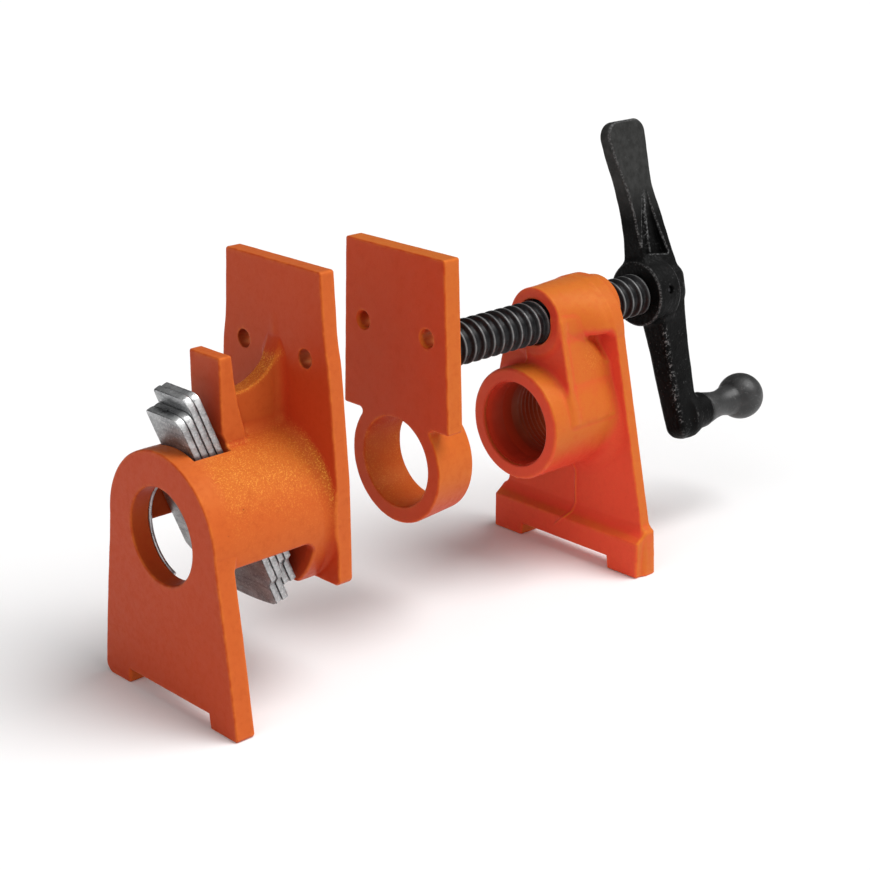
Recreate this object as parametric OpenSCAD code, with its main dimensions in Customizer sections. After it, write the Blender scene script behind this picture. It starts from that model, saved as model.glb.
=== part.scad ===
// Woodworking pipe clamp: a screw-driven head, a moving jaw and a sliding tail
// jaw that all ride on one length of standard pipe.
// Frame: origin on the pipe axis at the mouth of the head's threaded socket,
// +X toward the crank, +Y across, +Z up. Both feet stand at z = -base_h.

/* [Pipe] */
// Radius of the plain bores that slide on the pipe
pipe_bore_r = 14.0; // [13.8:0.1:14.4]
// Minor radius of the head's threaded pipe socket
socket_minor_r = 11.9; // [11.6:0.1:12.2]
// Height of the pipe axis above the feet
base_h = 51; // [50:0.5:54]

/* [Head] */
// Outer radius of the pipe socket
socket_r = 18.2; // [17.5:0.1:19]
// Depth of the socket in front of the standing plate
socket_len = 28.5; // [26:0.5:30]
// Thickness of the standing plate
head_plate_t = 4.2; // [3.5:0.1:5]
// Half width of the head's foot
head_foot_w = 32.3; // [30:0.1:34]
// Radius of the boss that carries the screw
nut_boss_r = 11; // [10.5:0.1:12]

/* [Screw] */
// Height of the screw above the pipe axis
screw_z = 32; // [32:0.5:33]
// Major radius of the screw
screw_r = 7.0; // [6.5:0.1:7.2]
// Radius of the plain journals at both ends of the screw
journal_r = 5.5; // [5.2:0.1:5.8]
// Distance from the socket mouth to the crank hub at rest
hub_x = 57; // [57:0.5:60]

/* [Crank] */
// Lean of the crank at rest, about the screw axis
crank_lean = 14; // [0:1:30]
// Reach of the upper paddle from the screw axis
paddle_reach = 57; // [50:0.5:58]
// Radius at which the knob turns about the screw axis
knob_reach = 44.5; // [42:0.5:46]
// Radius of the knob's ball
ball_r = 8.05; // [7.5:0.05:8.5]

/* [Moving jaw] */
// Position of the moving jaw's working face at rest
jaw_x = -51; // [-54:0.5:-50]
// Height of the moving jaw above the pipe axis
jaw_top = 66; // [62:0.5:68]

/* [Tail jaw] */
// Position of the tail casting's front face at rest
tail_x = -137; // [-150:0.5:-137]
// Radius of the barrel and of the arch over the foot plate
arch_r = 24.4; // [24:0.1:25]
// Radius of the hollow inside the barrel
hollow_r = 21; // [21:0.1:21.3]
// Height of the tail's jaw plate above the pipe axis
tail_top = 70.5; // [66:0.5:72]

/* [Clutch] */
// Thickness of one clutch plate
plate_t = 2.2; // [2:0.05:2.2]
// Lean of the clutch plates at rest
plate_lean = 22.5; // [20:0.5:22.5]
// Wire radius of the clutch spring
wire_r = 0.55; // [0.5:0.05:0.6]

/* [Hidden] */
$fn = 96;
orange = [0.86, 0.36, 0.10];
black = [0.07, 0.07, 0.08];
steel = [0.72, 0.73, 0.75];
floor_z = -base_h;
plate_gap = 0.08;
plate_step = (plate_t + plate_gap) / cos(plate_lean);
plate_u0 = 6.3;
foot_t = 6.2;
disc_u = 34.6;
face_u = 41;
tail_len = 46;
boss_back = 14.5;
boss_x = 38.4;
plate_hole_r = 14.15;
plate_hole_s = 24.6;
screw_x0 = jaw_x + boss_back + 0.2;
tab_tops = [10.8, 11.4, 16.5, 16.9];
tail_ends = [53, 52.4, 47.6, 47.2];

// a cylinder along X, from x0 for a length l
module xcyl(x0, l, r, r2 = -1) {
    translate([x0, 0, 0]) rotate([0, 90, 0]) cylinder(h = l, r1 = r, r2 = r2 < 0 ? r : r2);
}
// an outline given in (y, z), extruded along X from x0 for a thickness t
module xplate(x0, t, pts) {
    translate([x0, 0, 0]) rotate([90, 0, 90]) linear_extrude(t) polygon(pts);
}
// an outline given in (x, z), extruded along Y between -w and +w
module yplate(w, pts) {
    translate([0, w, 0]) rotate([90, 0, 0]) linear_extrude(2 * w) polygon(pts);
}
// mirrors a list of (half width, z) stations into a closed outline
function both(st) = concat([for (p = st) [p[0], p[1]]],
                           [for (i = [len(st) - 1:-1:0]) [-st[i][0], st[i][1]]]);

// ---------------------------------------------------------------- head
module head_casting() {
    x1 = socket_len;
    x2 = socket_len + head_plate_t;
    w26 = 24.5 + 0.215 * (-8 - 26.5);
    color(orange) difference() {
        union() {
            xcyl(0, x1 + 1, socket_r);
            // standing plate, narrowing upward to a round top
            xcyl_at(x1, head_plate_t, w26, 26.5);
            xplate(x1, head_plate_t, both([[w26, 26.5], [24.5 + 0.215 * 38, -46],
                                           [head_foot_w, floor_z]]));
            // foot flange with a sloping top
            yplate(head_foot_w, [[24.3, floor_z], [24.3, -39], [x1 + 0.5, -36], [x2, -36], [x2, floor_z]]);
            // web between the two bosses, with a flared rim in front and pockets behind it
            translate([8.5, -7, 10]) cube([x1 - 8, 14, 14]);
            xplate(8.5, 3.5, both([[10.6, 34], [11.2, 32], [15.4, 14], [14.4, 10]]));
            // screw boss, through the plate
            xcyl_at(8.5, boss_x - 9.5, nut_boss_r, screw_z);
            translate([x2 - 0.2, 0, screw_z]) xcyl(0, boss_x - x2 + 0.2, nut_boss_r + 0.2, nut_boss_r - 0.8);
        }
        xcyl(-1, x2 + 2, socket_minor_r);
        xcyl_at(7, 34, screw_r + 0.05, screw_z);
        // hollow between the pads of the foot
        translate([20, -19.2, floor_z - 1]) cube([20, 38.4, 5.2]);
    }
}
module xcyl_at(x0, l, r, z) { translate([0, 0, z]) xcyl(x0, l, r); }

// ---------------------------------------------------------------- moving jaw
module jaw_casting() {
    color(orange) translate([jaw_x, 0, 0]) difference() {
        union() {
            xplate(0, 6, both([[20.9, jaw_top], [21.3, jaw_top - 1], [23, 14.6], [22.2, 13.8], [17.5, 13.8],
                               [17.5, 6]]));
            xcyl(0, 15, 19.2, 18.2);
            // boss that holds the end of the screw
            xcyl_at(5, boss_back - 5, 12, screw_z);
            translate([5, -12, 21.5]) cube([boss_back - 5, 24, screw_z - 21.5]);
        }
        xcyl(-1, 17, pipe_bore_r);
        // blind bore for the screw's journal
        xcyl_at(7, 9, journal_r + 0.05, screw_z);
        // hole for the retaining pin, beside the bore
        translate([10.5, 5.2, 20]) cylinder(h = 22, r = 1.52);
        // pad screws
        for (s = [-1, 1]) translate([0, s * 13.8, 41.5]) {
            xcyl(-1, 8, 2.6);
            xcyl(-0.01, 1.5, 3.4, 2.6);
        }
    }
}
module jaw_retaining_pin() {
    color(steel) translate([jaw_x + 10.5, 5.2, 21.9]) cylinder(h = 18, r = 1.5);
}

// ---------------------------------------------------------------- screw
module clamp_screw() {
    g = jaw_x + 10.5;
    color(black) translate([0, 0, screw_z]) difference() {
        rotate([0, 90, 0]) rotate_extrude() polygon([
            [0, jaw_x + 7.3], [journal_r - 0.6, jaw_x + 7.3], [journal_r, jaw_x + 7.9],
            [journal_r, g - 1.7], [3.5, g - 1.7], [3.5, g + 1.7], [journal_r, g + 1.7],
            [journal_r, screw_x0], [screw_r - 1.2, screw_x0], [screw_r, screw_x0 + 1.2],
            [screw_r, hub_x], [journal_r, hub_x], [journal_r, hub_x + 13.2], [journal_r - 0.8, hub_x + 14],
            [0, hub_x + 14]]);
        rotate([-crank_lean, 0, 0]) translate([hub_x + 5.5, 15, 0]) rotate([90, 0, 0]) cylinder(h = 30, r = 1.27);
    }
}

// ---------------------------------------------------------------- crank
// slab across the arm at height s, from xa to xb, of tangential half width h
module slab(s, xa, xb, h, t = 1) { translate([xa, -h, s - t / 2]) cube([xb - xa, 2 * h, t]); }

module crank_handle() {
    k = -knob_reach;
    color(black) translate([0, 0, screw_z]) rotate([-crank_lean, 0, 0]) difference() {
        union() {
            xcyl(hub_x, 12.6, 11);
            // upper arm: root, waist and paddle
            hull() { slab(8, 58.5, 73.2, 8); slab(26, 58.6, 71.6, 4.4); }
            hull() { slab(26, 58.6, 71.6, 4.4); slab(36, 57, 69.9, 3.2); }
            hull() { slab(36, 57, 69.9, 3.2); slab(52, 53.6, 70.8, 2.1);
                     slab(paddle_reach - 0.5, 57, 67, 1.6); }
            // lower arm and the boss that carries the knob
            hull() { slab(-8, 60.5, 74, 6.4); slab(-20, 63, 74.5, 4.6); }
            hull() { slab(-20, 63, 74.5, 4.6);
                     translate([65, 0, k - 1.6]) rotate([0, 90, 0]) cylinder(h = 9.8, r = 4.9, $fn = 32); }
            xcyl_at(72, 9, 6.2, k);
        }
        xcyl(hub_x - 1, 20, journal_r + 0.02);
        // cross-pin hole
        translate([hub_x + 5.5, 15, 0]) rotate([90, 0, 0]) cylinder(h = 30, r = 1.27);
        // hole for the knob's rivet
        xcyl_at(60, 25, 2.52, k);
        xcyl_at(64, 3, 3.6, k);
    }
}
module crank_pin() {
    color(steel) translate([0, 0, screw_z]) rotate([-crank_lean, 0, 0])
        translate([hub_x + 5.5, 10, 0]) rotate([90, 0, 0]) cylinder(h = 20, r = 1.25);
}
module knob_rivet() {
    color(steel) translate([0, 0, screw_z]) rotate([-crank_lean, 0, 0]) translate([0, 0, -knob_reach])
        rotate([0, 90, 0]) rotate_extrude() polygon([
            [0, 65.2], [3.5, 65.2], [3.5, 66.9], [2.5, 66.9], [2.5, 108.8], [3.9, 108.9], [3.2, 110], [0, 110.4]]);
}
module crank_knob() {
    xc = 102.4;
    n = 20;
    color(black) translate([0, 0, screw_z]) rotate([-crank_lean, 0, 0]) translate([0, 0, -knob_reach])
        rotate([0, 90, 0]) rotate_extrude() polygon(concat(
            [[2.56, 81.3], [5.6, 81.3], [5.9, 82], [5.3, 84.5], [4.7, 87.5], [4.5, 90], [4.8, 92.5], [5.4, 95]],
            [for (i = [0:n]) let (a = 140 - 108.5 * i / n) [ball_r * sin(a), xc + ball_r * cos(a)]],
            [[4.2, 108.6], [2.56, 108.6]]));
}

// ---------------------------------------------------------------- tail
module tail_casting() {
    color(orange) translate([tail_x, 0, 0]) difference() {
        union() {
            tail_barrel();
            // foot plate, widening downward
            xplate(0, foot_t, both([[24.3, 0], [24.8, -5], [27.2, -20], [29.2, -35], [30.5, -46], [31.2, floor_z]]));
            // jaw plate
            xplate(face_u, tail_len - face_u, both([[19.8, tail_top], [20.6, tail_top - 0.8], [21.8, 50], [23.2, 45], [26, 10],
                                      [26.3, -17], [24.3, -19]]));
            // finger lug
            yplate(6.75, [[17, 27], [17, 48.5], [21.3, 48.5], [22.2, 38], [24, 30], [24, 21.6], [18.2, 21.6], [18.2, 24.4]]);
            // web behind the lug, scooped out
            difference() {
                yplate(2.75, [[20, 21.6], [20, 50], [face_u + 0.5, 50], [face_u + 0.5, 21.6]]);
                translate([25, 5, 52]) rotate([90, 0, 0]) cylinder(h = 10, r = 15);
            }
        }
        xcyl(-1, 10, pipe_bore_r);
        xcyl(disc_u - 2, 20, pipe_bore_r);
        for (s = [-1, 1]) translate([0, s * 13.5, 45]) xcyl(face_u - 1, 8, 2.6);
        // hollow between the pads of the foot
        translate([-1, -18.6, floor_z - 1]) cube([foot_t + 2, 37.2, 5.2]);
    }
}
module tail_barrel() {
    difference() {
        xcyl(0, face_u + 1, arch_r);
        // the barrel is open below
        translate([foot_t, -30, -54.2]) cube([disc_u - foot_t, 60, 50]);
        translate([disc_u - 1, -30, -58]) cube([20, 60, 39]);
        xcyl(foot_t, disc_u - foot_t, hollow_r);
        // slot for the clutch plates' tabs
        translate([foot_t, -8.5, 10]) cube([12, 17, 20]);
    }
}

// ---------------------------------------------------------------- clutch
// One plate, outlined in its own plane: v across, s down from its pivot edge.
module clutch_plate(i) {
    top = tab_tops[i];
    end = tail_ends[i];
    sh = end - 8.5;
    n = 14;
    out = concat(
        [[6.3, -top], [7.5, 1.2 - top], [7.5, 5.2 + 19.8 - sqrt(19.8 * 19.8 - 56.25)]],
        [for (k = [1:n]) let (a = 22.27 + (90 - 22.27) * k / n) [19.8 * sin(a), 25 - 19.8 * cos(a)]],
        [[19.8, sh - 3.2], [17.5, sh], [17.5, end - 1.5], [16, end - 0.3], [8, end]]);
    lf = [for (k = [len(out) - 1:-1:0]) k == 0 ? [-4.4, -top] : k == 1 ? [-7.5, 3.1 - top] : [-out[k][0], out[k][1]]];
    color(steel)
        translate([tail_x + plate_u0 + i * plate_step, 0, arch_r]) rotate([0, -plate_lean, 0])
            difference() {
                xplate(0, plate_t, [for (p = concat(out, lf)) [p[0], -p[1]]]);
                xcyl_at(-1, plate_t + 2, plate_hole_r, -plate_hole_s);
            }
}
module clutch_plate_1() { clutch_plate(0); }
module clutch_plate_2() { clutch_plate(1); }
module clutch_plate_3() { clutch_plate(2); }
module clutch_plate_4() { clutch_plate(3); }

// Wire swept along a coil that is squeezed by the leaning plate.
coil_r = 14.65;
turns = 1.05;
coil_a0 = -75;
rings = 54;
sides = 8;
function coil_room(z) = 0.1 + tan(plate_lean) * (arch_r - z);
function coil_pt(f) = let (a = coil_a0 + 360 * turns * f, y = coil_r * cos(a), z = coil_r * sin(a))
    [foot_t + 0.05 + wire_r + pow(f, 1.6) * (coil_room(z) - 2.3 * wire_r - 0.15), y, z];
module clutch_spring() {
    pts = [for (j = [0:rings]) let (f = j / rings, a = coil_a0 + 360 * turns * f, c = coil_pt(f))
           for (k = [0:sides - 1]) let (b = 360 * k / sides)
           [c[0] + wire_r * sin(b), c[1] + wire_r * cos(b) * cos(a), c[2] + wire_r * cos(b) * sin(a)]];
    faces = concat(
        [[for (k = [0:sides - 1]) k]],
        [for (j = [0:rings - 1]) for (k = [0:sides - 1]) let (a = j * sides + k, b = j * sides + (k + 1) % sides)
            [a + sides, b + sides, b, a]],
        [[for (k = [sides - 1:-1:0]) rings * sides + k]]);
    color(steel) translate([tail_x, 0, 0]) polyhedron(points = pts, faces = faces, convexity = 6);
}

head_casting();
jaw_casting();
jaw_retaining_pin();
clamp_screw();
crank_handle();
crank_pin();
knob_rivet();
crank_knob();
tail_casting();
clutch_spring();
clutch_plate_1();
clutch_plate_2();
clutch_plate_3();
clutch_plate_4();
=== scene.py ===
import math

import bpy
import numpy as np
from mathutils import Matrix, Vector
from mathutils.geometry import tessellate_polygon


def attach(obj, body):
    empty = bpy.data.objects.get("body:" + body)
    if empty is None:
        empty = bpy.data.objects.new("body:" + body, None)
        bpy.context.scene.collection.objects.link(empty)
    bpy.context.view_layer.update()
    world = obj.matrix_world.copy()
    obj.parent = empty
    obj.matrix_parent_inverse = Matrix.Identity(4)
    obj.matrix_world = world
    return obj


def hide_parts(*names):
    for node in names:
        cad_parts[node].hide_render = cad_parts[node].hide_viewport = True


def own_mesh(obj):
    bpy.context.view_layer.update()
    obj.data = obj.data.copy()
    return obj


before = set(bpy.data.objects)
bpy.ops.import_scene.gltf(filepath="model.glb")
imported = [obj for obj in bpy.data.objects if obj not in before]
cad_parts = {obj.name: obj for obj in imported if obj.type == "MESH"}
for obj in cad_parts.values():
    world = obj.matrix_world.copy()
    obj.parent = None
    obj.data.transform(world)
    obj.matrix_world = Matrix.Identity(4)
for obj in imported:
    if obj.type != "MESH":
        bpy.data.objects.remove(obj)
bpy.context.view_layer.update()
MM = 0.001

# ------------------------------------------------------------------ camera
POS = Vector((-0.41066, -0.3989, 0.1982))
FWD = Vector((0.64688, 0.68606, -0.33298)).normalized()
RIGHT = FWD.cross(Vector((0, 0, 1))).normalized()
UP = RIGHT.cross(FWD).normalized()
cam_data = bpy.data.cameras.new("camera")
cam_data.sensor_fit = "HORIZONTAL"
cam_data.sensor_width = 36
cam_data.lens = 78.745
cam_data.clip_start = 0.01
cam_data.clip_end = 50
cam = bpy.data.objects.new("camera", cam_data)
bpy.context.scene.collection.objects.link(cam)
rot = Matrix((RIGHT, UP, -FWD)).transposed().to_4x4()
cam.matrix_world = Matrix.Translation(POS) @ rot
bpy.context.scene.camera = cam


# ------------------------------------------------------------------ distance fields, in millimetres
def hyp(a, b):
    return np.sqrt(a * a + b * b)


def ru(a, b, r):
    """Union with a fillet of radius r."""
    return np.maximum(r, np.minimum(a, b)) - hyp(np.maximum(r - a, 0), np.maximum(r - b, 0))


def ri(a, b, r):
    """Intersection with edges rounded to radius r."""
    return np.minimum(-r, np.maximum(a, b)) + hyp(np.maximum(r + a, 0), np.maximum(r + b, 0))


def rd(a, b, r):
    """a minus b, with edges rounded to radius r."""
    return ri(a, -b, r)


def slab(x, a, b):
    return np.abs(x - (a + b) / 2) - (b - a) / 2


def curve(v, xs, ys):
    return np.interp(v, xs, ys)


def soft(xs, ys, w):
    """A curve through points, with its corners smoothed over a length w."""
    st = 0.25
    g = np.arange(xs[0] - 2 * w, xs[-1] + 2 * w + st, st)
    y = np.interp(g, xs, ys)
    lo, hi = g < xs[0], g > xs[-1]
    y[lo] = ys[0] + (g[lo] - xs[0]) * (ys[1] - ys[0]) / (xs[1] - xs[0])
    y[hi] = ys[-1] + (g[hi] - xs[-1]) * (ys[-1] - ys[-2]) / (xs[-1] - xs[-2])
    k = np.ones(int(w / st) // 2 * 2 + 1)
    k /= k.sum()
    h = len(k) // 2
    for _ in range(2):
        y = np.convolve(np.concatenate([np.full(h, y[0]), y, np.full(h, y[-1])]), k, "valid")
    return lambda v: np.interp(v, g, y)


def poly(px, py, pts, r=0.0):
    """Exact distance to a polygon, grown by r."""
    p = np.array(pts, float)
    n = len(p)
    d = None
    inside = None
    for i in range(n):
        a, b = p[i], p[(i + 1) % n]
        ex, ey = b - a
        wx, wy = px - a[0], py - a[1]
        t = np.clip((wx * ex + wy * ey) / (ex * ex + ey * ey), 0, 1)
        q = (wx - ex * t) ** 2 + (wy - ey * t) ** 2
        d = q if d is None else np.minimum(d, q)
        c = (a[1] > py) != (b[1] > py)
        if abs(ey) > 1e-9:
            c = c & (px < (ex * (py - a[1]) / ey + a[0]))
        else:
            c = c & np.zeros(np.shape(px * py), bool)
        inside = c if inside is None else inside ^ c
    return np.where(inside, -1.0, 1.0) * np.sqrt(d) - r


def wave(x, y, z, k=0.03):
    """The slow unevenness of a sand casting's skin."""
    return k * (np.sin(0.43 * x + 0.31 * z + 1.7 * np.sin(0.17 * y + 0.5)) * np.sin(0.37 * y - 0.29 * z + 1.1)
                + 0.6 * np.sin(0.81 * z + 0.55 * y + 0.3) * np.sin(0.71 * x - 0.62 * y + 2.0))


def bump(v, c, w):
    return np.exp(-((v - c) / w) ** 2)


TAIL_W = soft([-19, -17, 10, 45, 50, 70.5], [26.3, 26.3, 26.0, 23.2, 21.9, 20.6], 5.0)
FOOT_W = soft([-51, -46, -35, -20, -5, 0], [31.2, 30.5, 29.2, 27.2, 24.9, 24.4], 8.0)


def tail_sdf(x, y, z):
    u = x + 137.0
    ay = np.abs(y)
    rho = hyp(y, z)
    # barrel wall, open below, and the disc at its end
    wall = ri(ri(rho - 24.4, 21.0 - rho, 0.5), -4.2 - z, 0.9)
    wall = ri(wall, slab(u, 1.5, 38.0), 0.5)
    disc = ri(ri(rho - 24.4, -19.0 - z, 0.6), slab(u, 34.6, 43.0), 0.8)
    g = ru(wall, disc, 1.2 + 2.3 * np.clip((2 - z) / 6, 0, 1))
    g = np.maximum(g, rho - 24.4)
    # jaw plate
    w = TAIL_W(z)
    o = ri(ri(ay - w, z - 70.5, 0.9), -19.0 - z, 2.0)
    g = ru(g, slab(u, 41.0, 46.0), 0.4 + 3.4 * np.clip((z + 17) / 12, 0, 1))
    g = ri(g, o, 0.55)
    # foot plate
    wf = FOOT_W(z)
    f2 = np.where(z > 0, rho - 24.4, (ay - wf) * 0.993)
    f2 = ri(f2, -51.0 - z, np.where(y > 0, 3.8, 1.2))
    f = ri(f2, slab(u, 0.0, 6.2), 0.55)
    f = rd(f, np.maximum(ay - 18.6 + 0.12 * (z + 49), z + 46.8), 0.9)
    g = ru(g, f, 1.2)
    g = np.maximum(g, np.minimum(f2, 20.0 - u))
    # slot for the plates' tabs
    slot = np.maximum(np.maximum(ay - 8.5, 10.0 - z), slab(u, 6.2, 18.2))
    g = rd(g, slot, 0.45)
    # finger lug, web and scoop
    lug = poly(u, z, [(17.6, 27.3), (17.6, 47.9), (20.7, 47.9), (21.2, 42), (22.4, 33.8), (24.4, 26), (24.4, 22.5),
                      (18.8, 22.5), (18.8, 24.7)], 0.6)
    lug = ri(lug, ay - 6.75, 0.55)
    web = np.maximum(np.maximum(slab(u, 20, 42.5), slab(z, 21.9, 62.0)), 15.8 - hyp(u - 25.8, np.minimum(z - 52.0, 0)))
    web = ri(web, ay - 2.75, 0.7)
    lw = ru(lug, web, 2.6)
    root = (1.1 + 1.9 * np.clip((u - 24.0) / 4.0, 0, 1)) * np.clip((50.0 - z) / 6.0, 0.03, 1)
    g = ru(g, lw, root * np.clip((rho - 21.6) / 2.6, 0.05, 1))
    uf = curve(z, [24.4, 27], [18.2, 17.0])
    g = np.maximum(g, -np.maximum(np.maximum(ay - 8.5, 10.0 - z), np.maximum(6.2 - u, u - uf)))
    # low rib that dies out up the plate
    g = g - 0.3 * bump(y, 0, 1.6) * bump(u, 41, 1.4) * np.clip((56 - z) / 9, 0, 1) * np.clip((z - 40) / 6, 0, 1)
    # bores and pad holes
    g = rd(g, rho - 14.0 + 0.06 * np.sin(3 * np.arctan2(z, y) + 0.6), 0.6)
    g = rd(g, hyp(ay - 13.5, z - 45) - 2.6, 0.25)
    return g + wave(x, y, z, 0.022)


def jaw_sdf(x, y, z):
    v = x + 51.0
    ay = np.abs(y)
    rho = hyp(y, z)
    w = 23.0 - (z - 14.6) * (1.7 / 50.4)
    o = ri(ri(ay - w, z - 66.0, 0.8), 13.8 - z, 0.7)
    pl = ri(o, slab(v, 0.0, 6.0), 0.5)
    rg = ri(rho - (19.2 - v / 15.0), slab(v, 0.0, 15.0), 0.6)
    g = ru(pl, rg, 2.5)
    g = np.maximum(g, -v)
    b = np.where(z > 32, hyp(y, z - 32) - 12.0, ay - 12.0)
    b = ri(b, 21.5 - z, 1.6)
    b = ri(b, slab(v, 4.0, 14.5), 1.3)
    g = ru(g, b, 2.0)
    g = np.maximum(g, -v)
    g = rd(g, rho - 14.0, 0.6)
    g = rd(g, np.maximum(hyp(y, z - 32) - 5.65, 7.0 - v), 0.5)
    g = rd(g, np.maximum(hyp(v - 10.5, y - 5.2) - 1.55, np.maximum(z - 42, 20.0 - z)), 0.2)
    g = rd(g, hyp(ay - 13.8, z - 41.5) - (2.6 + 0.45 * np.clip(1 - v / 0.8, 0, 1)), 0.12)
    return g + wave(x, y, z, 0.022)


def hull_outline(y, z):
    """The outline around the socket (r 18.2) and the screw boss (r 11, 32 above it)."""
    r1, r2, h = 18.2, 11.0, 32.0
    ay = np.abs(y)
    b = (r1 - r2) / h
    a = math.sqrt(1 - b * b)
    k = -b * ay + a * z
    mid = a * ay + b * z - r1
    return np.where(k < 0, hyp(ay, z) - r1, np.where(k > a * h, hyp(ay, z - h) - r2, mid))


def head_sdf(x, y, z):
    ay = np.abs(y)
    rho = hyp(y, z)
    rs = hyp(y, z - 32.0)
    hull = hull_outline(y, z)
    sock = ri(rho - 18.2, slab(x, 0.0, 30.0), 1.0)
    # the screw boss spreads to the outline of the plate
    q = np.clip((x - 11.0) / 17.5, 0, 1)
    q = q * q * (3 - 2 * q)
    flare = hyp(y, z - 32.0 + 5.5 * q) - (11.0 + 5.8 * q)
    flare = ri(ri(flare, 27.5 - z, 3.0), slab(x, 8.5, 30.0), 0.8)
    nut = np.minimum(ri(rs - 11.0, slab(x, 8.5, 33.0), 0.8), flare)
    # the web is flush behind its front rim and falls back to a pocket at the plate
    k = np.clip((x - 9.6) / 2.6, 0, 1)
    d = np.clip((x - 16.0 - 0.85 * np.clip(30.0 - z, 0, 12)) / 7.5, 0, 1)
    inset = 0.6 * k * k * (3 - 2 * k) + 3.8 * d * d * (3 - 2 * d)
    web = ri(ri(hull + inset, slab(x, 8.5, 30), 0.8), slab(z, 2, 34), 0.5)
    n = ru(nut, web, 2.0)
    s = ru(sock, n, 2.1)
    # standing plate
    wp = 24.5 + 0.215 * (-8.0 - z)
    po = np.where(z < 26.5, (ay - wp) * 0.978, hyp(y, z - 26.5) - 17.08)
    po = np.maximum(ri(po, ay - 32.5, 1.0), z - 43.3)
    s = ru(s, slab(x, 28.5, 32.7), 2.6 + 2.8 * np.clip((6.0 - z) / 14.0, 0, 1))
    s = ri(s, po, 0.6)
    cone = ri(rs - curve(x, [32.5, 38.4], [10.9, 10.2]), slab(x, 31.0, 38.4), 0.9)
    s = ru(s, cone, 0.9)
    # foot flange
    ft = poly(x, z, [(24.9, -50.4), (24.9, -39.3), (28.9, -36.6), (32.1, -36.6), (32.1, -50.4)], 0.6)
    ft = ri(ft, ay - 32.3, 0.8)
    s = ru(s, ft, 2.2)
    s = np.maximum(s, np.minimum(x - 32.7, 18.0 - z))
    s = ri(s, -51.0 - z, 0.6)
    s = rd(s, np.maximum(ay - 19.2 + 0.12 * (z + 49), z + 46.8), 0.9)
    # casting lines
    yc = curve(z, [-43, -41, -39, -37, -34, -20], [4.6, 2.6, 0.4, -1.0, -1.6, -1.2])
    s = s - 0.42 * bump(y, yc, 0.6) * np.clip((z + 43) / 2, 0, 1) * np.clip((-17 - z) / 3, 0, 1) * (x < 31)
    s = s - 0.4 * bump(y, 2.4, 0.5) * bump(x, 8.5, 1.5) * np.clip((23.5 - z) / 1.5, 0, 1) * np.clip((z - 17) / 1.5, 0, 1)
    # bores
    s = rd(s, rho - 13.7, 0.6)
    s = rd(s, rs - 7.35, 0.5)
    return s + wave(x, y, z + 3.0, 0.022)


K = -44.5


UP_A = soft([-6, 8, 18.5, 27, 36, 46, 53.6, 57], [58.6, 58.6, 58.7, 58.4, 57.0, 54.3, 53.0, 52.6], 3.5)
UP_B = soft([-6, 8, 18, 25, 34.5, 44, 51, 57], [74.2, 73.9, 73.2, 72.1, 69.9, 70.7, 71.2, 71.4], 3.5)
UP_H = soft([-4, 0, 8, 14, 20, 26, 34, 44, 57], [5.8, 5.8, 5.3, 4.1, 3.5, 3.3, 3.0, 2.5, 2.0], 3.0)
LOW_A = soft([-51, -44, -40, -20, -8, 0], [65.6, 64.9, 64.4, 63.2, 62.4, 60.8], 4.0)
LOW_H = soft([-51, -40, -20, -8, 0], [4.0, 4.1, 4.5, 5.5, 6.2], 4.0)


def crank_sdf(x, s, t):
    at = np.abs(t)
    hub = ri(hyp(s, t) - 11.0, slab(x, 57.0, 67.4), 0.9)
    # upper arm and paddle
    xa, xb, h = UP_A(s), UP_B(s), UP_H(s)
    c, a = (xa + xb) / 2, (xb - xa) / 2
    top = np.where(x < c, ri(xa - x, s - 57.0, 6.0), ri(x - xb, s - 57.0, 4.6))
    up = ri(top, at - h, 0.8)
    up = ri(up, -3.0 - s, 1.0)
    # lower arm, a rounded box in section
    low = ri(slab(x, LOW_A(s), 75.3), at - LOW_H(s), 1.9)
    low = ri(low, -52.4 - s, 4.6)
    low = ri(low, s - 5.0, 2.0)
    boss = ri(hyp(s - K, t) - 6.2, slab(x, 72.0, 81.0), 0.9)
    g = ru(ru(up, low, 3.0), hub, 1.7)
    g = ru(g, boss, 2.6)
    g = np.maximum(g, np.minimum(57.0 - x, 15.0 - np.abs(s)))
    # hollow between the ribs above the hub, on both sides
    tri = poly(x, s, [(65.4, 32.5), (60.2, 13.6), (70.2, 12.2)], 0.9)
    fl = curve(s, [12, 18, 26, 33], [1.6, 1.6, 2.0, 2.9]) + 0.8 * bump(x, 64.6, 1.0)
    g = rd(g, np.maximum(np.maximum(tri, fl - at), 11.6 - hyp(s, t)), 0.5)
    # bore for the screw and the cross-pin hole
    g = rd(g, hyp(s, t) - 5.6, 0.4)
    g = rd(g, hyp(x - 62.5, s) - 1.35, 0.25)
    # blind hole for the rivet
    g = rd(g, np.maximum(hyp(s - K, t) - 2.6, 76.0 - x), 0.2)
    return g + wave(x, s, t, 0.05)


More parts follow.
